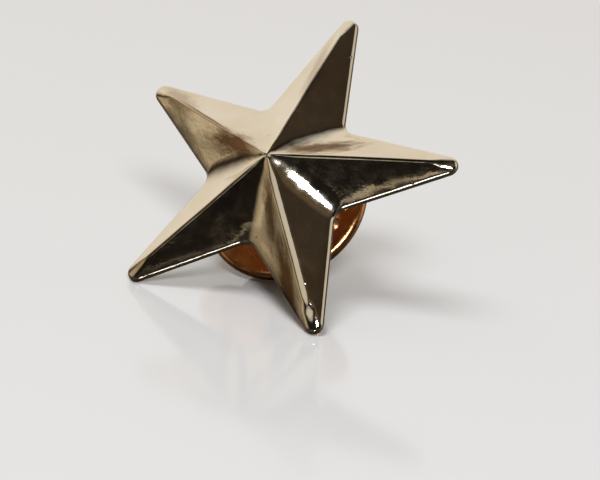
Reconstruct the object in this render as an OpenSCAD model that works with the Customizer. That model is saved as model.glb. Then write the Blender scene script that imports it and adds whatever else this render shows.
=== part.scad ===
// Star lapel pin with a butterfly clutch on its post.
// It stands on a table on the ends of its two lower arms and on the lower wing of the clutch.

/* [Star] */
// Radius from the middle of the star to the ends of its arms
star_r = 12.2; // [11:0.1:13]
// Radius from the middle of the star to the notches between its arms
notch_at = 5.04; // [4.6:0.01:5.4]
// Height of the middle of the star above its rim
peak_h = 2.86; // [2:0.01:4]
// Height of the side wall round the rim
wall_h = 0.4; // [0.3:0.05:0.6]
// Radius that rounds the end of each arm
tip_round = 0.65; // [0.3:0.05:0.8]
// Radius that fills each notch
notch_round = 1; // [0.3:0.05:1.2]
// Width of the raised border on the back
border_w = 0.9; // [0.7:0.05:1.2]
// Depth of the field inside that border
field_depth = 0.25; // [0.1:0.05:0.25]

/* [Post] */
// Distance of the post to the left of the middle of the star
post_left = 0.8; // [0:0.1:1.2]
// Distance of the post below the middle of the star
post_down = 0.4; // [0:0.1:0.8]
// Radius of the shank
post_r = 0.575; // [0.5:0.005:0.6]
// Distance from the rim of the star back to the point of the post
post_reach = 6.62; // [6.4:0.01:6.64]
// Radius of the foot that is soldered to the star
foot_r = 2; // [1.8:0.1:2.2]
// Thickness of that foot
foot_t = 0.35; // [0.3:0.05:0.4]
// Width of the solder seam round the foot
solder_w = 0.35; // [0.2:0.05:0.4]

/* [Clutch] */
// Radius of the clutch over its rolled rim
clutch_r = 5.75; // [5.6:0.05:6]
// Distance from the rim of the star back to the middle of the rolled rim
clutch_back = 3.93; // [3.8:0.01:4]
// Radius of the rolled rim's section
bead_r = 0.42; // [0.38:0.01:0.44]
// Thickness of the base plate
plate_t = 0.35; // [0.3:0.01:0.36]
// Gap round the shank in the hole of the base plate
hole_gap = 0.07; // [0.05:0.01:0.1]
// Number of gripping dimples
dimples = 6; // [4:1:8]
// Radius of the ring of dimples
dimple_ring = 3.97; // [3.8:0.01:4.1]
// Outer radius of the cap that covers the jaws
cap_r = 2.7; // [2.6:0.05:2.8]
// Distance from the rim of the star back to the top of the cap
cap_back = 7; // [6.98:0.01:7.2]
// Thickness of the cap's metal
cap_t = 0.3; // [0.25:0.01:0.3]

/* [Wings] */
// Direction in which the lower wing points, clockwise from the right arm
wing_turn = 76; // [60:1:85]
// Distance from the clutch's axis to the end of a wing
wing_reach = 4.24; // [4.1:0.01:4.24]
// Angle between a wing and the base plate
wing_slope = 42; // [38:0.5:42]
// Width of a wing
wing_w = 5.6; // [5:0.1:6]
// Thickness of a wing
wing_t = 0.3; // [0.28:0.01:0.32]
// Radius of the spring's wire
wire_r = 0.22; // [0.18:0.01:0.24]

/* [Stand] */
// Angle at which the star leans back from upright
lean = 41.4; // [41:0.1:41.8]

/* [Hidden] */
$fn = 72;

arms = 5;
arm_turn = 360 / arms;
tip_steps = 8;
notch_steps = 6;
tip_at = star_r - tip_round;

// Half angle of an arm, from the line that leaves a notch and touches the round of the arm's end
notch_side = notch_at * sin(arm_turn / 2);
arm_side = tip_at - notch_at * cos(arm_turn / 2);
arm_half = atan(notch_side / arm_side) - asin(tip_round / norm([notch_side, arm_side]));
notch_half = arm_turn / 2 + arm_half;

floor_z = field_depth - wall_h;
foot_back = foot_t - floor_z;
groove_r = 0.44;
groove_from = 4.45;
groove_to = 4.95;
point_len = 1;
point_r = 0.08;
solder_h = foot_t * 0.7;

plate_front = clutch_back - bead_r;
plate_rear = plate_front + plate_t;
hole_r = post_r + hole_gap;
brim_t = 0.25;
brim_r = clutch_r - 0.6;
dimple_r = 0.8;
dimple_out = 0.32;
dimple_skin = 0.25;
dimple_first = 130;
funnel_r = 1.1;
funnel_h = 0.2;

shoulder_r = 0.8;
window_w = 3.3;
window_from = 4.5;
window_to = 5.6;

pivot_at = 2.55;
pivot_back = 5;
stem_w = 3;
stem_slope = 8;
stem_end = 0.1;
wing_start = 0.34;
wing_end_r = 3.2;
wing_len = (wing_reach - pivot_at) / cos(wing_slope);
jaw_r = hole_r;

spring_at = 1.5;
spring_clear = 0.02;
spring_low = plate_rear + wire_r + spring_clear;
spring_high = 4.45;
spring_rings = 40;
spring_sides = 8;
spring_gap = 30;

// The star's own frame has its rim at z = 0 and its front towards +z. These place it on the table.
tilt = 90 - lean;
low_side = tip_at * sin(54) + tip_round;
seat_z = low_side * cos(lean) + wall_h * sin(lean);
seat_y = (low_side * sin(lean) - star_r * sin(lean) - wall_h * cos(lean)) / 2;

champagne = [0.85, 0.76, 0.6];
brass = [0.8, 0.58, 0.34];
steel = [0.62, 0.62, 0.6];
solder = [0.7, 0.69, 0.66];

function at(r, a) = [r * cos(a), r * sin(a)];

function tip_arc(a, r) =
    [for (i = [0:tip_steps])
        at(r, a) + at(tip_round, a + (90 - arm_half) * (2 * i / tip_steps - 1))];

function notch_arc(a, r) =
    [for (i = [0:notch_steps])
        at(r + notch_round / sin(notch_half), a)
        + at(notch_round, a + 180 + (90 - notch_half) * (1 - 2 * i / notch_steps))];

// Outline of the star, moved inwards by inset along its whole length
function star_outline(inset) =
    [for (k = [0:arms - 1])
        each concat(
            tip_arc(90 + k * arm_turn, tip_at - inset / sin(arm_half)),
            notch_arc(90 + (k + 0.5) * arm_turn, notch_at - inset / sin(notch_half)))];

// A ring of points round a bent wire, at angle a round the clutch
function wire_ring(a) =
    let (mid = (spring_low + spring_high) / 2)
    let (swing = (spring_high - spring_low) / 2)
    [for (i = [0:spring_sides - 1])
        let (s = at(wire_r, 360 * i / spring_sides))
        [(spring_at + s[0]) * cos(a), (spring_at + s[0]) * sin(a), mid + swing * cos(2 * a) + s[1]]];

module stand() {
    translate([0, seat_y, seat_z])
        rotate([tilt, 0, 0])
            children();
}

// The clutch's own frame: the origin where the post's axis crosses the rim, +z backwards
module clutch_frame() {
    stand()
        translate([-post_left, -post_down, 0])
            rotate([180, 0, 0])
                children();
}

module star_front() {
    outline = star_outline(0);
    n = len(outline);
    polyhedron(
        points = concat([for (p = outline) [p[0], p[1], 0]], [[0, 0, peak_h], [0, 0, 0]]),
        faces = [for (i = [0:n - 1]) each [[(i + 1) % n, i, n], [i, (i + 1) % n, n + 1]]]);
}

module star_body() {
    color(champagne)
        stand()
            union() {
                star_front();
                difference() {
                    translate([0, 0, -wall_h])
                        linear_extrude(wall_h)
                            polygon(star_outline(0));
                    translate([0, 0, -wall_h - 1])
                        linear_extrude(field_depth + 1)
                            polygon(star_outline(border_w));
                }
            }
}

// Nail with a flat foot, a groove that the jaws drop into and a pointed end
module pin_post() {
    color(steel)
        clutch_frame() {
            difference() {
                union() {
                    translate([0, 0, -floor_z])
                        cylinder(r = foot_r, h = foot_t);
                    translate([0, 0, foot_back])
                        cylinder(r = post_r, h = post_reach - point_len - foot_back);
                    translate([0, 0, post_reach - point_len])
                        cylinder(r1 = post_r, r2 = point_r, h = point_len);
                }
                translate([0, 0, groove_from])
                    difference() {
                        cylinder(r = post_r + 1, h = groove_to - groove_from);
                        cylinder(r = groove_r, h = groove_to - groove_from);
                    }
            }
        }
}

module solder_seam() {
    color(solder)
        clutch_frame()
            translate([0, 0, -floor_z])
                rotate_extrude()
                    polygon([[foot_r, 0], [foot_r + solder_w, 0], [foot_r, solder_h]]);
}

module dimple_place() {
    for (i = [0:dimples - 1])
        rotate(dimple_first + i * 360 / dimples)
            translate([dimple_ring, 0, plate_front + dimple_r - dimple_out])
                children();
}

// Stamped plate with a rolled rim, a ring of gripping dimples and a funnel for the post
module clutch_base() {
    color(brass)
        clutch_frame()
            difference() {
                union() {
                    translate([0, 0, plate_front])
                        cylinder(r = clutch_r - bead_r, h = plate_t);
                    translate([0, 0, clutch_back])
                        rotate_extrude()
                            translate([clutch_r - bead_r, 0])
                                circle(bead_r);
                    intersection() {
                        dimple_place()
                            sphere(dimple_r);
                        cylinder(r = clutch_r - bead_r, h = plate_rear);
                    }
                }
                translate([0, 0, plate_rear])
                    cylinder(r = brim_r, h = bead_r * 2);
                translate([0, 0, plate_front - 1])
                    cylinder(r = hole_r, h = plate_t + 2);
                translate([0, 0, plate_front])
                    cylinder(r1 = funnel_r, r2 = hole_r, h = funnel_h);
                dimple_place()
                    sphere(dimple_r - dimple_skin);
            }
}

module cap_form(r, top) {
    round_r = shoulder_r + r - cap_r;
    cylinder(r = r, h = top - round_r);
    cylinder(r = r - round_r, h = top);
    translate([0, 0, top - round_r])
        rotate_extrude()
            translate([r - round_r, 0])
                circle(round_r);
}

// Cap with a brim that the rolled rim holds, and a window for each wing
module clutch_cap() {
    color(brass)
        clutch_frame()
            difference() {
                union() {
                    translate([0, 0, plate_rear])
                        cylinder(r = brim_r, h = brim_t);
                    intersection() {
                        cap_form(cap_r, cap_back);
                        translate([0, 0, plate_rear])
                            cylinder(r = clutch_r, h = cap_back);
                    }
                }
                cap_form(cap_r - cap_t, cap_back - cap_t);
                rotate(wing_turn)
                    translate([-clutch_r, -window_w / 2, window_from])
                        cube([clutch_r * 2, window_w, window_to - window_from]);
            }
}

// Lever with a broad finger wing outside the cap and a half-round jaw at the post
module wing(turn) {
    color(brass)
        clutch_frame()
            rotate(turn)
                difference() {
                    translate([pivot_at, 0, pivot_back]) {
                        rotate([0, -wing_slope, 0])
                            translate([0, 0, -wing_t / 2])
                                linear_extrude(wing_t)
                                    wing_outline();
                        rotate([0, -stem_slope, 0])
                            translate([stem_end - pivot_at, -stem_w / 2, -wing_t / 2])
                                cube([pivot_at - stem_end, stem_w, wing_t]);
                        rotate([90, 0, 0])
                            translate([0, 0, -stem_w / 2])
                                cylinder(r = wing_t / 2, h = stem_w);
                    }
                    cylinder(r = jaw_r, h = cap_back);
                }
}

module wing_outline() {
    translate([0, -stem_w / 2])
        square([wing_start + 0.1, stem_w]);
    intersection() {
        translate([wing_start, -wing_w / 2])
            square([wing_len, wing_w]);
        translate([wing_len - wing_end_r, 0])
            circle(wing_end_r);
    }
}

module wing_upper() {
    wing(wing_turn + 180);
}

module wing_lower() {
    wing(wing_turn);
}

// Open ring of bent wire that is high under each wing's stem and low between them
module jaw_spring() {
    sweep = 360 - spring_gap;
    first = 90 + spring_gap / 2;
    rings = [for (k = [0:spring_rings]) wire_ring(first + sweep * k / spring_rings)];
    s = spring_sides;
    sides = [for (k = [0:spring_rings - 1], i = [0:s - 1])
        [k * s + i, k * s + (i + 1) % s, (k + 1) * s + (i + 1) % s, (k + 1) * s + i]];
    ends = [[for (i = [0:s - 1]) s - 1 - i], [for (i = [0:s - 1]) spring_rings * s + i]];
    color(steel)
        clutch_frame()
            rotate(wing_turn)
                polyhedron(points = [for (r = rings) each r], faces = concat(sides, ends));
}

star_body();
pin_post();
solder_seam();
clutch_base();
clutch_cap();
wing_upper();
wing_lower();
jaw_spring();
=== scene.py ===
import math
import bmesh
import bpy
import numpy as np
from mathutils import Matrix, Vector, noise


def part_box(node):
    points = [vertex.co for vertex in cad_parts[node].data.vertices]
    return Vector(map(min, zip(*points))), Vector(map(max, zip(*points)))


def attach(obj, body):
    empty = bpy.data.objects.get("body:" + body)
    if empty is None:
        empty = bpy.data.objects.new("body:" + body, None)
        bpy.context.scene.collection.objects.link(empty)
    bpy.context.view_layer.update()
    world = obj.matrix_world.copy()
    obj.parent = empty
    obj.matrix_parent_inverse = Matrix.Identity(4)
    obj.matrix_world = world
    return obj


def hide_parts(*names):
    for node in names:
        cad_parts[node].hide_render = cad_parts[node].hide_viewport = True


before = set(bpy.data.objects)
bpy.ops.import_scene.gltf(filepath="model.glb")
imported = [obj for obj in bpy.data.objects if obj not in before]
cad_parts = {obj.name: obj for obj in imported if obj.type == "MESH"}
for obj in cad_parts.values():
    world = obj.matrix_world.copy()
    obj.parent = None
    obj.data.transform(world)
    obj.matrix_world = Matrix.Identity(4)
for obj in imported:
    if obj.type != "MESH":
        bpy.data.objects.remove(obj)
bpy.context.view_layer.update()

mm = 0.001

# The star's own frame has its rim at z = 0, its front towards +z and its top arm towards +y.
place = {
    "lean": 41.4,            # degrees back from upright
    "postLeft": 0.8,         # mm from the middle of the star to the post
    "postDown": 0.4,
}

star = {
    "reach": 12.2,           # mm to the ends of the arms
    "notchAt": 5.04,         # mm to the notches
    "peak": 2.86,            # height of the middle above the rim
    "wall": 0.4,             # side wall under the rim
    "tipRound": 0.65,
    "notchRound": 1.0,
    "ridgeRound": 0.15,      # how sharp the ridges are, and each one's wear, anticlockwise from the top arm
    "ridgeWear": (1, 0.8, 1, 1.9, 1),
    "valleyRound": 1.5,      # how soft the five valleys are
    "rimRound": 0.38,        # polishing has rounded the rim this much
    "backRound": 0.08,
    "border": 0.9,           # raised border round the back
    "field": 0.25,           # depth of the field inside it
    "wave": 0.06,            # polishing waves on the facets, mm
    "waveLength": 4.2,
    "rimWave": 0.013,        # small unevenness along the rim
    "rimWaveLength": 0.8,
    "peakSoft": 0.03,        # share of the way to the rim over which the peak is worn round
    "peakWave": 0.065,       # lumps that the casting left at the peak
    "peakWaveLength": 0.55,
    "peakWaveReach": 1.0,
    "tipTaper": 0.6,         # how fast the ridges sharpen inwards from the rim
    "peakTaper": 0.16,       # share of the way out over which the ridges meet at the peak
    "valleyTaper": 0.3,      # and the valleys
    "edgePoints": 44,        # points along each straight edge
    "tipSteps": 10,          # and round each end and notch
    "notchSteps": 8,
    "rimSteps": 8,           # rows round the rim
    "seed": 4,
}
# A flaw in the casting: wrinkled skin on the right arm beside the valley
flaw = {
    "at": (3.1, 2.2),
    "turn": 32,
    "long": 2.5,
    "wide": 0.9,
    "deep": 0.085,
    "wrinkle": 0.45,
}
# A small lump in the valley between the right arm and the lower right one
lump = {"at": (2.65, -1.0), "reach": 0.36, "high": 0.035}
arms = 5
tipCentre = star["reach"] - star["tipRound"]
notchSide = star["notchAt"] * math.sin(math.pi / arms)
armSide = tipCentre - star["notchAt"] * math.cos(math.pi / arms)
armHalf = math.atan2(notchSide, armSide) - math.asin(star["tipRound"] / math.hypot(notchSide, armSide))
notchHalf = math.pi / arms + armHalf
edgeAway = star["notchAt"] * math.sin(notchHalf)      # from the middle to the line of each edge
sharpTip = edgeAway / math.sin(armHalf)

lean = math.radians(place["lean"])
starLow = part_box("star_body")[0]
lowReach = tipCentre * math.sin(math.radians(54)) + star["tipRound"]
seatZ = lowReach * math.cos(lean) + star["wall"] * math.sin(lean) + starLow[2] / mm
seatY = lowReach * math.sin(lean) + starLow[1] / mm
toTable = (Matrix.Scale(mm, 4) @ Matrix.Translation((0, seatY, seatZ))
           @ Matrix.Rotation(math.pi / 2 - lean, 4, "X"))
# The clutch's own frame has its origin on the post's axis at the star's rim, and +z backwards.
toClutch = (toTable @ Matrix.Translation((-place["postLeft"], -place["postDown"], 0))
            @ Matrix.Rotation(math.pi, 4, "X"))
starMiddle = toTable @ Vector((0, 0, 0))


camera = {
    "away": (73.86, -133.96, 48.63),       # mm from the middle of the star
    "forward": (-0.44666, 0.83236, -0.32812),
    "up": (-0.23858, 0.24265, 0.94032),
    "lens": 144.9,
}


def makeCamera():
    data = bpy.data.cameras.new("camera")
    data.lens = camera["lens"]
    data.clip_start = 0.001
    data.clip_end = 20
    eye = bpy.data.objects.new("camera", data)
    bpy.context.collection.objects.link(eye)
    back = -Vector(camera["forward"]).normalized()
    right = Vector(camera["up"]).cross(back).normalized()
    turn = Matrix((right, back.cross(right), back)).transposed().to_4x4()
    eye.matrix_world = Matrix.Translation(starMiddle + Vector(camera["away"]) * mm) @ turn
    bpy.context.scene.camera = eye


makeCamera()
print("camera set")


def linear(hexColour):
    parts = [int(hexColour[i:i + 2], 16) / 255 for i in (1, 3, 5)]
    return [c / 12.92 if c <= 0.04045 else ((c + 0.055) / 1.055) ** 2.4 for c in parts] + [1]


def addNode(tree, kind, settings=None, sockets=None):
    made = tree.nodes.new(kind)
    for key, value in (settings or {}).items():
        setattr(made, key, value)
    for key, value in (sockets or {}).items():
        if isinstance(value, bpy.types.NodeSocket):
            tree.links.new(value, made.inputs[key])
        else:
            made.inputs[key].default_value = value
    return made


def newMaterial(name, settings):
    made = bpy.data.materials.new(name)
    made.use_nodes = True
    tree = made.node_tree
    shader = tree.nodes["Principled BSDF"]
    for key, value in settings.items():
        shader.inputs[key].default_value = value
    return made, tree, shader


def inFrame(tree, matrix):
    # Object coordinates turned into a piece's own frame, in millimetres
    shift, turn, size = matrix.inverted().decompose()
    spot = addNode(tree, "ShaderNodeTexCoord").outputs["Object"]
    return addNode(tree, "ShaderNodeMapping", {"vector_type": "POINT"}, {
        "Vector": spot, "Location": shift, "Rotation": turn.to_euler(), "Scale": size}).outputs["Vector"]


def finishPiece(name, mesh, body, materials, replaced=()):
    piece = bpy.data.objects.new(name, mesh)
    bpy.context.collection.objects.link(piece)
    for each in materials:
        mesh.materials.append(each)
    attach(piece, body)
    if replaced:
        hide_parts(*replaced)
    return piece


def meshFrom(name, points, faces, matrix):
    mesh = bpy.data.meshes.new(name)
    mesh.from_pydata([matrix @ Vector(p) for p in points], [], faces)
    form = bmesh.new()
    form.from_mesh(mesh)
    bmesh.ops.remove_doubles(form, verts=form.verts, dist=1e-7)
    bmesh.ops.recalc_face_normals(form, faces=form.faces)
    form.to_mesh(mesh)
    form.free()
    for face in mesh.polygons:
        face.use_smooth = True
    return mesh


def stackRings(rings, startPole=None, endPole=None):
    # Rings of equal length joined by quads, with a fan at a pole
    count = len(rings[0])
    points = [p for ring in rings for p in ring]
    faces = []
    for k in range(len(rings) - 1):
        for i in range(count):
            j = (i + 1) % count
            faces.append((k * count + i, k * count + j, (k + 1) * count + j, (k + 1) * count + i))
    for pole, base in ((startPole, 0), (endPole, (len(rings) - 1) * count)):
        if pole is not None:
            points.append(pole)
            faces += [(base + i, base + (i + 1) % count, len(points) - 1) for i in range(count)]
    return points, faces


def lathe(profile, count, closed=False):
    rings = [[(r * math.cos(2 * math.pi * i / count), r * math.sin(2 * math.pi * i / count), z)
              for i in range(count)] for r, z in profile if r > 0]
    if closed:
        return stackRings(rings + [rings[0]])
    ends = [(0, 0, z) if r <= 0 else None for r, z in (profile[0], profile[-1])]
    return stackRings(rings, *ends)


def arc(middle, radius, first, last, steps):
    return [(middle[0] + radius * math.cos(math.radians(first + (last - first) * i / steps)),
             middle[1] + radius * math.sin(math.radians(first + (last - first) * i / steps)))
            for i in range(steps + 1)]


edgeSteps = [k / star["edgePoints"] for k in range(1, star["edgePoints"])]


def starRing(inset, tipR, notchR, z, wear=0):
    # One closed line round the star, moved in from the outline by inset, with a share of the ridges' wear
    corners = []
    for k in range(arms):
        for turn, sharp, half, r, steps, side in (
                (90 + 72 * k, sharpTip, armHalf, tipR, star["tipSteps"], -1),
                (126 + 72 * k, star["notchAt"], notchHalf, notchR, star["notchSteps"], 1)):
            if side < 0:
                r = min(r * (1 + (star["ridgeWear"][k] - 1) * wear), star["tipRound"])
            middle = sharp - inset / math.sin(half) + side * r / math.sin(half)
            sweep = 90 - math.degrees(half)
            centre = (middle * math.cos(math.radians(turn)), middle * math.sin(math.radians(turn)))
            if side < 0:
                corners.append(arc(centre, r, turn - sweep, turn + sweep, steps))
            else:
                corners.append(arc(centre, r, turn + 180 + sweep, turn + 180 - sweep, steps))
    ring = []
    for k, corner in enumerate(corners):
        after = corners[(k + 1) % len(corners)][0]
        ring += corner
        ring += [(corner[-1][0] + (after[0] - corner[-1][0]) * t,
                  corner[-1][1] + (after[1] - corner[-1][1]) * t) for t in edgeSteps]
    return [(x, y, z) for x, y in ring]


def uneven(p):
    # Hand polishing leaves slow waves, a soft lumpy peak and a dented rim; the flaw keeps its wrinkles
    away = math.hypot(p.x, p.y)
    slow = p / star["waveLength"] + Vector((star["seed"], 0, 0))
    lift = star["wave"] * (noise.noise(slow) + 0.35 * noise.noise(slow * 2.3)) * min(1, max(0, p.z / 0.5))
    nearPeak = math.exp(-(away / star["peakWaveReach"]) ** 2)
    lift += star["peakWave"] * nearPeak * noise.noise(p / star["peakWaveLength"]) if p.z > 0 else 0
    turn = Matrix.Rotation(math.radians(-flaw["turn"]), 2)
    along, across = turn @ Vector((p.x - flaw["at"][0], p.y - flaw["at"][1]))
    inFlaw = max(0, 1 - (along / flaw["long"]) ** 2 - (across / flaw["wide"]) ** 2) if p.z > 0.3 else 0
    fold = noise.noise(Vector((along / 3, across, 7)) / flaw["wrinkle"])
    lift -= flaw["deep"] * inFlaw * (0.4 + abs(fold) * 2)
    fromLump = math.hypot(p.x - lump["at"][0], p.y - lump["at"][1])
    lift += lump["high"] * math.exp(-(fromLump / lump["reach"]) ** 2) if p.z > 0 else 0
    onRim = math.exp(-((p.z - 0.05) / 0.16) ** 2)
    dent = star["rimWave"] * onRim * (noise.noise(p / star["rimWaveLength"]) - 0.4)
    inwards = 1 + dent / max(1, away)
    return Vector((p.x * inwards, p.y * inwards, p.z + lift + min(0, dent)))


def makeStar(plating, field):
    slope = math.atan2(star["peak"], edgeAway)
    rise = star["rimRound"]
    rims = []
    # front: facets from the peak out to where the rim starts to turn
    rimIn = rise * (1 - math.sin(slope))
    rimMid = rise * (math.tan(slope) - 1 / math.cos(slope))
    reachIn = np.concatenate([np.linspace(0.998, 0.9, 8), np.linspace(0.87, 0.08, 26)])
    ridge, notch, soft = star["ridgeRound"], star["notchRound"], star["peakSoft"]
    for part in reachIn:
        inset = rimIn + (edgeAway - rimIn) * part
        left = 1 - inset / edgeAway
        z = star["peak"] * (1 - math.sqrt(left ** 2 + soft ** 2))
        tipR = max(ridge, star["tipRound"] - inset * star["tipTaper"]) * min(1, left / star["peakTaper"])
        valley = notch + (star["valleyRound"] - notch) * min(1, (1 - left) / 0.25)
        valley *= min(1, left / star["valleyTaper"])
        rims.append((inset, tipR, valley, z, min(1, (inset - rimIn) / 0.9)))
    for k in range(star["rimSteps"] + 1):
        turn = slope + (math.pi / 2 - slope) * k / star["rimSteps"]
        inset = rise * (1 - math.sin(turn))
        rims.append((inset, star["tipRound"] - inset, notch + 0.3 * inset, rimMid + rise * math.cos(turn)))
    for x, z in arc((0, 0), star["backRound"], 0, -90, 4):
        inset = star["backRound"] - x
        rims.append((inset, star["tipRound"] - inset, notch + inset, star["backRound"] - star["wall"] + z))
    # back: border, step down to the field, and the field
    edge, border, backZ = 0.05, star["border"], -star["wall"]
    fieldTip = 0.15
    floorZ = star["field"] + backZ
    for inset, z in ((border - 3 * edge, backZ), (border - edge, backZ),
                     (border - edge / 3, backZ + edge / 3), (border, backZ + edge),
                     (border + edge, floorZ - edge), (border + 2 * edge, floorZ),
                     (border + 6 * edge, floorZ)):
        rims.append((inset, max(fieldTip, star["tipRound"] - inset), notch + inset * 0.3, z))
    for part in np.linspace(0.4, 0.97, 9):
        small = min(1, (1 - part) / star["peakTaper"])
        rims.append((edgeAway * part, fieldTip * small, (notch + 0.3) * small, floorZ))
    points, faces = stackRings([starRing(*each) for each in rims], (0, 0, star["peak"] * (1 - soft)),
                               (0, 0, floorZ))
    mesh = meshFrom("star", [uneven(Vector(p)) for p in points], faces, toTable)
    back = toTable.inverted()
    for face in mesh.polygons:
        deep = all(abs((back @ mesh.vertices[i].co).z - floorZ) < 0.02 for i in face.vertices)
        face.material_index = 1 if deep else 0
    finishPiece("star", mesh, "pin", [plating, field], ["star_body"])


clutch = {
    "rimAt": 3.93,           # mm from the star's rim back to the middle of the rolled rim
    "reach": 5.75,
    "bead": 0.42,            # radius of the rolled rim
    "plate": 0.35,
    "hole": 0.65,
    "funnel": 1.15,
    "brim": 5.15,
    "brimThick": 0.25,
    "dimples": 6,
    "dimpleRing": 3.97,
    "dimpleRadius": 0.85,
    "dimpleHigh": 0.32,
    "dimpleTop": 0.12,       # flat top of each dimple, radius
    "dimpleTurn": 130,
    "corner": 0.02,          # the plate's edges are broken by this much
    "segments": 240,
}
plateFront = clutch["rimAt"] - clutch["bead"]
plateRear = plateFront + clutch["plate"]
brimTop = plateRear + clutch["brimThick"]


def newTree(name, inputs):
    tree = bpy.data.node_groups.new(name, "GeometryNodeTree")
    tree.interface.new_socket("Geometry", in_out="INPUT", socket_type="NodeSocketGeometry")
    for label, kind in inputs:
        tree.interface.new_socket(label, in_out="INPUT", socket_type=kind)
    tree.interface.new_socket("Geometry", in_out="OUTPUT", socket_type="NodeSocketGeometry")
    return tree, addNode(tree, "NodeGroupInput").outputs


def endTree(tree, geometry, material):
    real = addNode(tree, "GeometryNodeRealizeInstances", {}, {"Geometry": geometry}).outputs["Geometry"]
    shaded = addNode(tree, "GeometryNodeSetMaterial", {}, {"Geometry": real, "Material": material})
    addNode(tree, "NodeGroupOutput", {}, {"Geometry": shaded.outputs["Geometry"]})


def throughTree(mesh, tree, values, matrix):
    # Runs a node tree on a mesh, and places the result on the table
    holder = bpy.data.objects.new(mesh.name + "Draft", mesh)
    bpy.context.collection.objects.link(holder)
    step = holder.modifiers.new("tree", "NODES")
    step.node_group = tree
    for item in tree.interface.items_tree:
        if item.in_out == "INPUT" and item.name in values:
            step[item.identifier] = values[item.name]
    return bake(holder, matrix)


def bake(holder, matrix):
    # The finished mesh of a draft with modifiers, turned and scaled into place
    seen = holder.evaluated_get(bpy.context.evaluated_depsgraph_get())
    made = bpy.data.meshes.new_from_object(seen)
    made.transform(matrix)
    name = holder.name.replace("Draft", "")
    bpy.data.objects.remove(holder)
    made.name = name
    for face in made.polygons:
        face.use_smooth = True
    return made


def sheetMetal(mesh, thickness, offset, rounding, matrix):
    # Gives a surface its metal thickness and breaks its edges
    holder = bpy.data.objects.new(mesh.name + "Draft", mesh)
    bpy.context.collection.objects.link(holder)
    wall = holder.modifiers.new("wall", "SOLIDIFY")
    wall.thickness = thickness
    wall.offset = offset
    wall.use_even_offset = True
    edges = holder.modifiers.new("edges", "BEVEL")
    edges.width = rounding
    edges.segments = 3
    edges.limit_method = "ANGLE"
    edges.angle_limit = math.radians(50)
    edges.harden_normals = False
    return bake(holder, matrix)


def makePlate(brass):
    bead, edge = clutch["bead"], clutch["reach"] - clutch["bead"]
    hole, funnel, rimAt = clutch["hole"], clutch["funnel"], clutch["rimAt"]
    face = [(r, plateFront) for r in np.linspace(funnel + 0.1, edge - 0.1, 46)]
    roll = arc((edge, rimAt), bead, -90, 158, 22)
    corner, brim = clutch["corner"], clutch["brim"]
    under = [(brim + corner, brimTop + corner), (brim + corner, plateRear)]
    rear = [(r, plateRear) for r in np.linspace(brim - 0.05, hole + 0.12, 46)]
    bore = [(hole + 2 * corner, plateRear - corner), (hole, plateRear - 0.07), (hole, plateFront + 0.24),
            (hole + 0.06, plateFront + 0.16), (funnel - 0.05, plateFront + corner)]
    points, faces = lathe(face + roll + under + rear + bore, clutch["segments"], closed=True)
    draft = meshFrom("clutchPlate", points, faces, Matrix())
    tree, given = newTree("pressDimples", (
        ("Count", "NodeSocketInt"), ("Ring Radius", "NodeSocketFloat"),
        ("Dimple Radius", "NodeSocketFloat"), ("Dimple Top", "NodeSocketFloat"),
        ("Height", "NodeSocketFloat"), ("Turn", "NodeSocketFloat"), ("Material", "NodeSocketMaterial")))
    circle = addNode(tree, "GeometryNodeMeshCircle", {}, {
        "Vertices": given["Count"], "Radius": given["Ring Radius"]}).outputs["Mesh"]
    turn = addNode(tree, "ShaderNodeCombineXYZ", {}, {"Z": given["Turn"]}).outputs["Vector"]
    places = addNode(tree, "GeometryNodeTransform", {}, {
        "Geometry": circle, "Rotation": turn}).outputs["Geometry"]
    spot = addNode(tree, "GeometryNodeInputPosition").outputs["Position"]
    flat = addNode(tree, "ShaderNodeVectorMath", {"operation": "MULTIPLY"}, {
        0: spot, 1: (1, 1, 0)}).outputs["Vector"]
    near = addNode(tree, "GeometryNodeProximity", {"target_element": "POINTS"}, {
        "Geometry": places, "Sample Position": flat}).outputs["Distance"]
    rise = addNode(tree, "ShaderNodeMapRange", {"interpolation_type": "SMOOTHERSTEP"}, {
        "Value": near, "From Min": given["Dimple Radius"], "From Max": given["Dimple Top"], "To Min": 0,
        "To Max": given["Height"]}).outputs["Result"]
    lower = addNode(tree, "ShaderNodeMath", {"operation": "MULTIPLY"}, {0: rise, 1: -1}).outputs["Value"]
    push = addNode(tree, "ShaderNodeCombineXYZ", {}, {"Z": lower}).outputs["Vector"]
    pressed = addNode(tree, "GeometryNodeSetPosition", {}, {"Geometry": given["Geometry"], "Offset": push})
    endTree(tree, pressed.outputs["Geometry"], given["Material"])
    mesh = throughTree(draft, tree, {
        "Count": clutch["dimples"], "Ring Radius": clutch["dimpleRing"],
        "Dimple Radius": clutch["dimpleRadius"], "Dimple Top": clutch["dimpleTop"],
        "Height": clutch["dimpleHigh"], "Turn": math.radians(clutch["dimpleTurn"]),
        "Material": brass}, toClutch)
    finishPiece("clutchPlate", mesh, "clutch", [], ["clutch_base"])


cap = {
    "reach": 2.7,
    "top": 7.0,
    "wall": 0.28,
    "shoulder": 0.8,
    "foot": 0.3,             # fillet where the cap rises from its brim
    "windowWide": 3.3,
    "windowFrom": 4.5,
    "windowTo": 5.6,
    "dish": 0.14,            # the top is pressed in a little
    "edge": 0.05,
}


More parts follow.
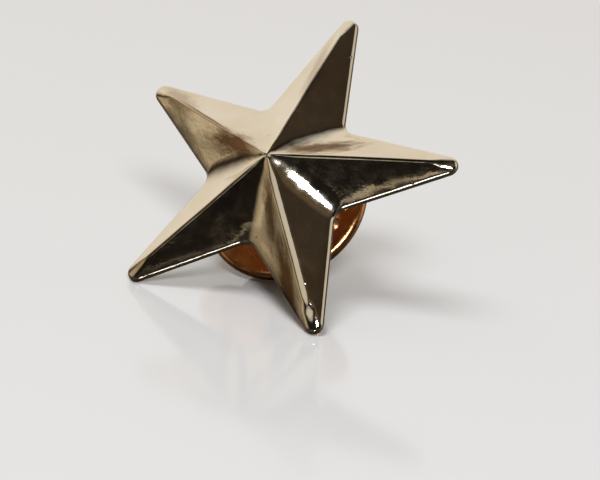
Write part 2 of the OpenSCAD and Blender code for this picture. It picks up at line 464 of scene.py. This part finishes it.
def makeCap(brass):
    r, top, foot, shoulder = cap["reach"], cap["top"], cap["foot"], cap["shoulder"]
    brimPart = [(x, brimTop) for x in np.linspace(clutch["brim"], r + foot + 0.05, 10)]
    footPart = arc((r + foot, brimTop + foot), foot, 270, 180, 6)
    wallPart = [(r, z) for z in np.linspace(cap["windowFrom"], cap["windowTo"], 5)]
    wallPart.append((r, (cap["windowTo"] + top - shoulder) / 2))
    shoulderPart = arc((r - shoulder, top - shoulder), shoulder, 0, 90, 12)
    dishR = r - shoulder - 0.1
    dishPart = [(x, top - cap["dish"] * (1 - (x / dishR) ** 2) ** 2)
                for x in np.linspace(dishR, 0.15, 12)]
    profile = brimPart + footPart + wallPart + shoulderPart + dishPart + [(0, top - cap["dish"])]
    points, faces = lathe(profile, clutch["segments"])
    half = math.degrees(math.asin(cap["windowWide"] / 2 / r))

    def inWindow(face):
        middle = sum((Vector(points[i]) for i in face), Vector()) / len(face)
        turn = (math.degrees(math.atan2(middle.y, middle.x)) - wing["turn"]) % 180
        return cap["windowFrom"] < middle.z < cap["windowTo"] and min(turn, 180 - turn) < half

    kept = [face for face in faces if not inWindow(face)]
    draft = meshFrom("clutchCap", points, kept, Matrix())
    mesh = sheetMetal(draft, cap["wall"], -1, cap["edge"], toClutch)
    finishPiece("clutchCap", mesh, "clutch", [brass], ["clutch_cap"])


wing = {
    "turn": 76,              # direction of the lower wing in the clutch's frame, degrees
    "pivotAt": 2.55,         # mm from the post's axis to the pivot in the cap's window
    "pivotBack": 5.0,
    "reach": 4.24,           # mm from the post's axis to the wing's end
    "slope": 42,             # degrees that the wing rises from the plate
    "stemSlope": 8,
    "stemWide": 3.0,
    "stemNear": 0.1,         # the stems' corners stop this short of the middle
    "wide": 5.6,
    "thick": 0.3,
    "edge": 0.07,
    "endRound": 3.2,
    "jaw": 0.645,            # radius of the bite that closes on the post
    "flareFrom": 0.1,        # where the wing widens, as a share of its length
    "flareLong": 0.14,
    "gripRibs": 4,
    "ribsFrom": 0.45,
    "ribsLong": 0.5,
    "ribsWide": 0.86,        # share of the width
    "ribHigh": 0.05,
    "stemRows": 18,
    "rows": 46,
    "columns": 56,
}


def stemPoint(share, t):
    # The narrow inner part, from the jaw's bite out to the pivot: along, across, lift
    y = t * wing["stemWide"] / 2
    bite = math.sqrt(max(0, wing["jaw"] ** 2 - y * y))
    end = max(bite, wing["stemNear"])
    return (end - wing["pivotAt"]) * (1 - share) / math.cos(math.radians(wing["stemSlope"])), y, 0


def gripPoint(share, t, length):
    # The part that a finger holds: it widens, has a round end and a few pressed ribs
    flare = min(1, max(0, (share - wing["flareFrom"]) / wing["flareLong"]))
    flare = flare * flare * (3 - 2 * flare)
    y = t * (wing["stemWide"] / 2 + (wing["wide"] - wing["stemWide"]) / 2 * flare)
    far = length - wing["endRound"] + math.sqrt(wing["endRound"] ** 2 - y * y)
    rib = (share - wing["ribsFrom"]) / wing["ribsLong"]
    wave = max(0, math.sin(math.pi * 2 * wing["gripRibs"] * rib)) if 0 < rib < 1 else 0
    return share * far, y, wing["ribHigh"] * wave * min(1, max(0, (wing["ribsWide"] - abs(t)) / 0.12))


def makeWing(name, node, body, turn, brass):
    length = (wing["reach"] - wing["pivotAt"]) / math.cos(math.radians(wing["slope"]))
    stemRows, rows, columns = wing["stemRows"], wing["rows"], wing["columns"]
    points = []
    for row in range(stemRows + rows + 1):
        for column in range(columns + 1):
            t = 2 * column / columns - 1
            if row < stemRows:
                along, y, lift = stemPoint(row / stemRows, t)
                a = math.radians(wing["stemSlope"])
            else:
                along, y, lift = gripPoint((row - stemRows) / rows, t, length)
                a = math.radians(wing["slope"])
            points.append((wing["pivotAt"] + along * math.cos(a) - lift * math.sin(a), y,
                           wing["pivotBack"] + along * math.sin(a) + lift * math.cos(a)))
    wide = columns + 1
    faces = [(r * wide + c, r * wide + c + 1, (r + 1) * wide + c + 1, (r + 1) * wide + c)
             for r in range(stemRows + rows) for c in range(columns)]
    draft = meshFrom(name, points, faces, Matrix.Rotation(math.radians(turn), 4, "Z"))
    mesh = sheetMetal(draft, wing["thick"], 0, wing["edge"], toClutch)
    finishPiece(name, mesh, body, [brass], [node])


post = {
    "foot": 2.0,             # radius
    "footThick": 0.35,
    "reach": 6.62,           # mm from the star's rim back to the point
    "shank": 0.575,
    "groove": 0.44,
    "grooveFrom": 4.45,
    "grooveTo": 4.95,
    "point": 1.0,            # length of the pointed end
    "solder": 0.35,          # how far the solder spreads beyond the foot
}
fieldBack = star["wall"] - star["field"]     # the floor of the star's back, in the clutch's frame


def makePost(steel, tin):
    foot, thick, shank = post["foot"], post["footThick"], post["shank"]
    top = fieldBack + thick
    profile = [(0, fieldBack), (foot - 0.3, fieldBack)]
    profile += arc((foot - 0.04, fieldBack + 0.04), 0.04, -90, 0, 3)
    profile += arc((foot - 0.09, top - 0.09), 0.09, 0, 90, 5) + [(1.4, top), (shank + 0.3, top)]
    profile += arc((shank + 0.22, top + 0.22), 0.22, 270, 180, 6) + [(shank, 2), (shank, 3.2)]
    for z, r in ((post["grooveFrom"] - 0.08, shank), (post["grooveFrom"], shank - 0.03),
                 (post["grooveFrom"] + 0.06, post["groove"]), (post["grooveTo"] - 0.06, post["groove"]),
                 (post["grooveTo"], shank - 0.03), (post["grooveTo"] + 0.08, shank)):
        profile.append((r, z))
    start = post["reach"] - post["point"]
    profile += [(shank * (1 - (k / 10) ** 1.5) + 0.05 * (k / 10), start + (post["point"] - 0.03) * k / 10)
                for k in range(11)]
    profile.append((0, post["reach"]))
    points, faces = lathe(profile, 96)
    finishPiece("pinPost", meshFrom("pinPost", points, faces, toClutch), "pin", [steel],
                ["pin_post"])
    seam = [(foot - 0.03, fieldBack + 0.002), (foot + post["solder"], fieldBack + 0.002)]
    seam += [(foot + post["solder"] * (1 - k / 8) ** 1.6 + 0.01, fieldBack + 0.02 + thick * 0.66 * k / 8)
             for k in range(1, 9)] + [(foot - 0.03, fieldBack + thick * 0.68)]
    points, faces = lathe(seam, 160, closed=True)
    flowed = []
    for x, y, z in points:
        beyond = max(0, math.hypot(x, y) - foot)
        pull = 1 + 0.5 * beyond * (noise.noise(Vector((x, y, 0)) * 1.4) - 0.35) / foot
        flowed.append((x * pull, y * pull, z))
    finishPiece("solderSeam", meshFrom("solderSeam", flowed, faces, toClutch), "pin", [tin],
                ["solder_seam"])


spring = {
    "at": 1.5,               # radius of the bend
    "wire": 0.22,            # radius of the wire
    "low": 4.1,              # the wire waves between these two heights
    "high": 4.45,
    "gap": 30,               # degrees between its ends
}


def makeSpring(steel):
    tree, given = newTree("bendWire", (
        ("Radius", "NodeSocketFloat"), ("Wire", "NodeSocketFloat"), ("Middle", "NodeSocketFloat"),
        ("Swing", "NodeSocketFloat"), ("Start", "NodeSocketFloat"), ("Sweep", "NodeSocketFloat"),
        ("Material", "NodeSocketMaterial")))
    ring = addNode(tree, "GeometryNodeCurveArc", {}, {
        "Resolution": 120, "Radius": given["Radius"], "Start Angle": given["Start"],
        "Sweep Angle": given["Sweep"]}).outputs["Curve"]
    spot = addNode(tree, "ShaderNodeSeparateXYZ", {}, {
        "Vector": addNode(tree, "GeometryNodeInputPosition").outputs["Position"]}).outputs
    turn = addNode(tree, "ShaderNodeMath", {"operation": "ARCTAN2"}, {
        0: spot["Y"], 1: spot["X"]}).outputs["Value"]
    twice = addNode(tree, "ShaderNodeMath", {"operation": "MULTIPLY"}, {0: turn, 1: 2}).outputs["Value"]
    swing = addNode(tree, "ShaderNodeMath", {"operation": "COSINE"}, {0: twice}).outputs["Value"]
    high = addNode(tree, "ShaderNodeMath", {"operation": "MULTIPLY_ADD"}, {
        0: swing, 1: given["Swing"], 2: given["Middle"]}).outputs["Value"]
    lift = addNode(tree, "ShaderNodeCombineXYZ", {}, {"Z": high}).outputs["Vector"]
    path = addNode(tree, "GeometryNodeSetPosition", {}, {
        "Geometry": ring, "Offset": lift}).outputs["Geometry"]
    section = addNode(tree, "GeometryNodeCurvePrimitiveCircle", {}, {
        "Resolution": 16, "Radius": given["Wire"]}).outputs["Curve"]
    wire = addNode(tree, "GeometryNodeCurveToMesh", {}, {
        "Curve": path, "Profile Curve": section, "Fill Caps": True}).outputs["Mesh"]
    endTree(tree, wire, given["Material"])
    draft = bpy.data.meshes.new("jawSpring")
    mesh = throughTree(draft, tree, {
        "Radius": spring["at"], "Wire": spring["wire"], "Middle": (spring["low"] + spring["high"]) / 2,
        "Swing": (spring["high"] - spring["low"]) / 2, "Start": math.radians(90 + spring["gap"] / 2),
        "Sweep": math.radians(360 - spring["gap"]), "Material": steel},
        toClutch @ Matrix.Rotation(math.radians(wing["turn"]), 4, "Z"))
    finishPiece("jawSpring", mesh, "clutch", [], ["jaw_spring"])


# Browner patches, partly plating worn thin and partly painted shade darkening the facets' reflections:
# centre and direction on the star, half length, half width, how much
thinPlateAndPaintedShade = (
    ((-3.2, 0.55), 166, 3.2, 1.0, 1.0),      # left arm, beside its ridge
    ((-6.3, 2.12), 161.5, 5.0, 0.11, 0.9),   # a thin line along that ridge
    ((-9.3, 3.1), 162, 2.6, 0.9, 0.4),       # the end of that arm
    ((2.8, 1.95), 30, 3.3, 0.75, 1.0),       # over the flaw
    ((1.35, -3.3), 294, 3.4, 0.6, 0.9),      # lower right arm
    ((4.1, -7.4), 300, 4.4, 0.8, 1.0),
    ((-1.7, -3.1), 242, 3.0, 0.7, 0.4),      # lower left arm
    ((-0.3, 7.5), 97, 3.6, 0.6, 0.35))       # top arm


def thinPlateAndPaintedShadeMask(tree, spot):
    # Each patch has its own noise, so its streaks run along it
    total = None
    for (x, y), turn, long, wide, much in thinPlateAndPaintedShade:
        away = addNode(tree, "ShaderNodeMapping", {"vector_type": "TEXTURE"}, {
            "Vector": spot, "Location": (x, y, 1), "Rotation": (0, 0, math.radians(turn)),
            "Scale": (long, wide, 5)}).outputs["Vector"]
        far = addNode(tree, "ShaderNodeVectorMath", {"operation": "LENGTH"}, {
            0: away}).outputs["Value"]
        streaks = addNode(tree, "ShaderNodeTexNoise", {}, {
            "Vector": away, "Scale": 2.2, "Detail": 7.0, "Roughness": 0.75}).outputs["Fac"]
        edge = addNode(tree, "ShaderNodeMath", {"operation": "MULTIPLY_ADD"}, {
            0: streaks, 1: 1.5, 2: far}).outputs["Value"]
        near = addNode(tree, "ShaderNodeMapRange", {"interpolation_type": "SMOOTHSTEP"}, {
            "Value": edge, "From Min": 1.05, "From Max": 1.8,
            "To Min": much, "To Max": 0}).outputs["Result"]
        total = near if total is None else addNode(
            tree, "ShaderNodeMath", {"operation": "MAXIMUM"}, {0: total, 1: near}).outputs["Value"]
    return total


def polishedGoldPlate():
    # Pale gold plate over a polished casting: a soft mirror with orange peel, haze and small pits, browner
    # where the plating is thin and where shade is painted onto the facets
    made, tree, shader = newMaterial("polished pale gold plate", {"Metallic": 1.0})
    spot = inFrame(tree, toTable)
    cloud = addNode(tree, "ShaderNodeTexNoise", {}, {
        "Vector": spot, "Scale": 0.28, "Detail": 3.0}).outputs["Fac"]
    haze = addNode(tree, "ShaderNodeTexNoise", {}, {"Vector": spot, "Scale": 1.1, "Detail": 5.0,
                                                    "Roughness": 0.65}).outputs["Fac"]
    tint = addNode(tree, "ShaderNodeValToRGB", {}, {"Fac": cloud})
    tint.color_ramp.elements[0].position = 0.3
    tint.color_ramp.elements[0].color = linear("#e6d9bf")
    tint.color_ramp.elements[1].position = 0.7
    tint.color_ramp.elements[1].color = linear("#f1e9d8")
    # The brown patches mark thin plating and also paint shade into the facets' reflections
    colour = addNode(tree, "ShaderNodeMix", {"data_type": "RGBA"}, {"Factor": thinPlateAndPaintedShadeMask(tree, spot)})
    tree.links.new(tint.outputs["Color"], colour.inputs["A"])
    colour.inputs["B"].default_value = linear("#7c624b")
    tree.links.new(colour.outputs["Result"], shader.inputs["Base Color"])
    rough = addNode(tree, "ShaderNodeMapRange", {}, {"Value": haze, "From Min": 0.35, "From Max": 0.75,
                                                     "To Min": 0.05, "To Max": 0.16})
    tree.links.new(rough.outputs["Result"], shader.inputs["Roughness"])
    peel = addNode(tree, "ShaderNodeTexNoise", {}, {
        "Vector": spot, "Scale": 1.7, "Detail": 2.0}).outputs["Fac"]
    cells = addNode(tree, "ShaderNodeTexVoronoi", {}, {"Vector": spot, "Scale": 0.62}).outputs["Distance"]
    pits = addNode(tree, "ShaderNodeMapRange", {"interpolation_type": "SMOOTHSTEP"},
                   {"Value": cells, "From Min": 0.02, "From Max": 0.06, "To Min": 0.0, "To Max": 1.0})
    first = addNode(tree, "ShaderNodeBump", {}, {"Height": peel, "Distance": 0.006 * mm, "Strength": 1.0})
    second = addNode(tree, "ShaderNodeBump", {}, {"Height": pits.outputs["Result"], "Distance": 0.02 * mm,
                                                  "Strength": 1.0, "Normal": first.outputs["Normal"]})
    grain = addNode(tree, "ShaderNodeTexNoise", {}, {
        "Vector": spot, "Scale": 5.0, "Detail": 2.0}).outputs["Fac"]
    third = addNode(tree, "ShaderNodeBump", {}, {"Height": grain, "Distance": 0.0025 * mm,
                                                 "Normal": second.outputs["Normal"]})
    tree.links.new(third.outputs["Normal"], shader.inputs["Normal"])
    return made


def pebbledGoldPlate():
    # The same plate over a sand-blasted field: fine grain and a dull sparkle
    made, tree, shader = newMaterial("pale gold plate over a blasted field", {"Metallic": 1.0})
    spot = inFrame(tree, toTable)
    grain = addNode(tree, "ShaderNodeTexVoronoi", {}, {"Vector": spot, "Scale": 4.5})
    tint = addNode(tree, "ShaderNodeMix", {"data_type": "RGBA"}, {"Factor": grain.outputs["Distance"]})
    tint.inputs["A"].default_value = linear("#b59d74")
    tint.inputs["B"].default_value = linear("#e0cda6")
    tree.links.new(tint.outputs["Result"], shader.inputs["Base Color"])
    shader.inputs["Roughness"].default_value = 0.34
    bump = addNode(tree, "ShaderNodeBump", {}, {"Height": grain.outputs["Distance"], "Distance": 0.03 * mm})
    tree.links.new(bump.outputs["Normal"], shader.inputs["Normal"])
    return made


def stampedBrass():
    # Stamped and tumbled brass: warm, faintly drawn round the axis, a little tarnished
    made, tree, shader = newMaterial("stamped bright brass", {"Metallic": 1.0})
    spot = inFrame(tree, toClutch)
    cloud = addNode(tree, "ShaderNodeTexNoise", {}, {
        "Vector": spot, "Scale": 0.5, "Detail": 4.0}).outputs["Fac"]
    tint = addNode(tree, "ShaderNodeMix", {"data_type": "RGBA"}, {"Factor": cloud})
    tint.inputs["A"].default_value = linear("#d8945a")
    tint.inputs["B"].default_value = linear("#f0b27c")
    tree.links.new(tint.outputs["Result"], shader.inputs["Base Color"])
    fine = addNode(tree, "ShaderNodeTexNoise", {}, {
        "Vector": spot, "Scale": 3.0, "Detail": 4.0}).outputs["Fac"]
    rough = addNode(tree, "ShaderNodeMapRange", {}, {"Value": fine, "From Min": 0.3, "From Max": 0.7,
                                                     "To Min": 0.16, "To Max": 0.3})
    tree.links.new(rough.outputs["Result"], shader.inputs["Roughness"])
    bump = addNode(tree, "ShaderNodeBump", {}, {"Height": fine, "Distance": 0.006 * mm})
    tree.links.new(bump.outputs["Normal"], shader.inputs["Normal"])
    return made


def drawnSteel(name, hexColour, matrix):
    # Drawn wire: bright, with fine lines along its length
    made, tree, shader = newMaterial(name, {"Metallic": 1.0, "Base Color": linear(hexColour)})
    spot = inFrame(tree, matrix)
    stretch = addNode(tree, "ShaderNodeMapping", {}, {
        "Vector": spot, "Scale": (6, 6, 0.4)}).outputs["Vector"]
    lines = addNode(tree, "ShaderNodeTexNoise", {}, {
        "Vector": stretch, "Scale": 2.0, "Detail": 3.0}).outputs["Fac"]
    rough = addNode(tree, "ShaderNodeMapRange", {}, {"Value": lines, "To Min": 0.15, "To Max": 0.42})
    tree.links.new(rough.outputs["Result"], shader.inputs["Roughness"])
    bump = addNode(tree, "ShaderNodeBump", {}, {"Height": lines, "Distance": 0.004 * mm})
    tree.links.new(bump.outputs["Normal"], shader.inputs["Normal"])
    return made


def softSolder():
    # Soft solder that flowed and froze: dull grey, with a slightly wrinkled skin
    made, tree, shader = newMaterial("soft solder", {"Metallic": 1.0, "Base Color": linear("#b4b2ab")})
    spot = inFrame(tree, toClutch)
    skin = addNode(tree, "ShaderNodeTexNoise", {}, {
        "Vector": spot, "Scale": 3.5, "Detail": 4.0}).outputs["Fac"]
    rough = addNode(tree, "ShaderNodeMapRange", {}, {"Value": skin, "To Min": 0.25, "To Max": 0.6})
    tree.links.new(rough.outputs["Result"], shader.inputs["Roughness"])
    bump = addNode(tree, "ShaderNodeBump", {}, {"Height": skin, "Distance": 0.03 * mm})
    tree.links.new(bump.outputs["Normal"], shader.inputs["Normal"])
    return made


brass = stampedBrass()
steel = drawnSteel("drawn steel wire", "#b9b6ae", toClutch)
makeStar(polishedGoldPlate(), pebbledGoldPlate())
print("star made")
makePlate(brass)
makeCap(brass)
makeWing("lowerWing", "wing_lower", "lower_wing", wing["turn"], brass)
makeWing("upperWing", "wing_upper", "upper_wing", wing["turn"] + 180, brass)
print("clutch made")
makePost(steel, softSolder())
makeSpring(drawnSteel("tempered spring wire", "#a7a49c", toClutch))
print("post and spring made")


studio = {
    "floorSize": 4,            # metres
    "floorColour": "#c3c4c6",
    "nearInMetal": "#2c2926",  # painted reflection: glossy rays see the floor this dark close by, while the camera sees it pale, so the rims stay dark
    "farInMetal": "#efe0c6",
    "darkTo": 0.09,            # metres from the pin
    "paleFrom": 0.3,
    "base": (0.011, 0.009, 0.0075),
}
# Soft glows of the room: azimuth, height, inner and outer radius in degrees, colour, strength
glows = (
    (-138, 32, 28, 58, "#fff8ee", 0.8),
    (-52, 2, 6, 28, "#f0dcb8", 0.46),
    (-15, 40, 9, 22, "#fff6e6", 0.6),
    (131, 24, 12, 32, "#fff4e6", 0.6),
    (-85, 0, 10, 60, "#8a6a4c", 0.1),
    (-82, 38, 6, 26, "#e8cfa8", 0.42),
    (54, 47, 4, 24, "#c9ac84", 0.14),
    (90, 66, 4, 22, "#b89c78", 0.06))


def direction(azimuth, height):
    # Azimuth 0 is in front of the star and grows to its right
    a, h = math.radians(azimuth), math.radians(height)
    return Vector((math.sin(a) * math.cos(h), -math.cos(a) * math.cos(h), math.sin(h)))


def makeFloor():
    size = studio["floorSize"]
    mesh = bpy.data.meshes.new("floor")
    corners = [(-size, -size, 0), (size, -size, 0), (size, size, 0), (-size, size, 0)]
    mesh.from_pydata(corners, [], [(0, 1, 2, 3)])
    floor = bpy.data.objects.new("floor", mesh)
    bpy.context.collection.objects.link(floor)
    made, tree, shader = newMaterial("pale glossy acrylic", {
        "Base Color": linear(studio["floorColour"]), "Roughness": 0.12})
    spot = addNode(tree, "ShaderNodeTexCoord").outputs["Object"]
    far = addNode(tree, "ShaderNodeVectorMath", {"operation": "LENGTH"}, {0: spot}).outputs["Value"]
    fade = addNode(tree, "ShaderNodeMapRange", {"interpolation_type": "SMOOTHSTEP"}, {
        "Value": far, "From Min": studio["darkTo"], "From Max": studio["paleFrom"]}).outputs["Result"]
    tone = addNode(tree, "ShaderNodeMix", {"data_type": "RGBA"}, {"Factor": fade})
    tone.inputs["A"].default_value = linear(studio["nearInMetal"])
    tone.inputs["B"].default_value = linear(studio["farInMetal"])
    # Painted reflection: glossy rays see this dark-to-warm floor, while the camera sees the pale one
    dark = addNode(tree, "ShaderNodeBsdfPrincipled", {}, {
        "Base Color": tone.outputs["Result"], "Roughness": 0.1})
    seen = addNode(tree, "ShaderNodeMixShader", {}, {
        0: addNode(tree, "ShaderNodeLightPath").outputs["Is Glossy Ray"],
        1: shader.outputs["BSDF"], 2: dark.outputs["BSDF"]})
    tree.links.new(seen.outputs["Shader"], tree.nodes["Material Output"].inputs["Surface"])
    mesh.materials.append(made)


def makeWorld():
    world = bpy.data.worlds.new("studio")
    world.use_nodes = True
    tree = world.node_tree
    ground = tree.nodes["Background"]
    ray = addNode(tree, "ShaderNodeTexCoord").outputs["Generated"]
    total = None
    for azimuth, height, inner, outer, colour, power in glows:
        facing = addNode(tree, "ShaderNodeVectorMath", {"operation": "DOT_PRODUCT"}, {0: ray})
        facing.inputs[1].default_value = direction(azimuth, height)
        glow = addNode(tree, "ShaderNodeMapRange", {"interpolation_type": "SMOOTHSTEP"}, {
            "Value": facing.outputs["Value"], "From Min": math.cos(math.radians(outer)),
            "From Max": math.cos(math.radians(inner)), "To Min": 0, "To Max": power})
        lit = addNode(tree, "ShaderNodeVectorMath", {"operation": "SCALE"}, {
            "Scale": glow.outputs["Result"]})
        lit.inputs[0].default_value = linear(colour)[:3]
        if total is None:
            start = addNode(tree, "ShaderNodeVectorMath", {"operation": "ADD"}, {0: lit.outputs["Vector"]})
            start.inputs[1].default_value = studio["base"]
        else:
            start = addNode(tree, "ShaderNodeVectorMath", {"operation": "ADD"},
                            {0: lit.outputs["Vector"], 1: total})
        total = start.outputs["Vector"]
    tree.links.new(total, ground.inputs["Color"])
    bpy.context.scene.world = world


def softbox(name, azimuth, height, away, size, watts, mirrored=True):
    data = bpy.data.lights.new(name, "AREA")
    data.shape = "DISK"
    data.size = size
    data.energy = watts
    light = bpy.data.objects.new(name, data)
    light.visible_glossy = mirrored
    bpy.context.collection.objects.link(light)
    aim = direction(azimuth, height)
    turn = aim.to_track_quat("Z", "Y").to_matrix().to_4x4()
    light.matrix_world = Matrix.Translation(starMiddle + aim * away) @ turn


makeFloor()
makeWorld()
softbox("keyLight", 36, 36, 0.9, 0.21, 6)
softbox("skyLight", -30, 72, 1.0, 0.5, 7, mirrored=False)
bpy.context.scene.view_settings.view_transform = "Standard"
print("floor and light set")
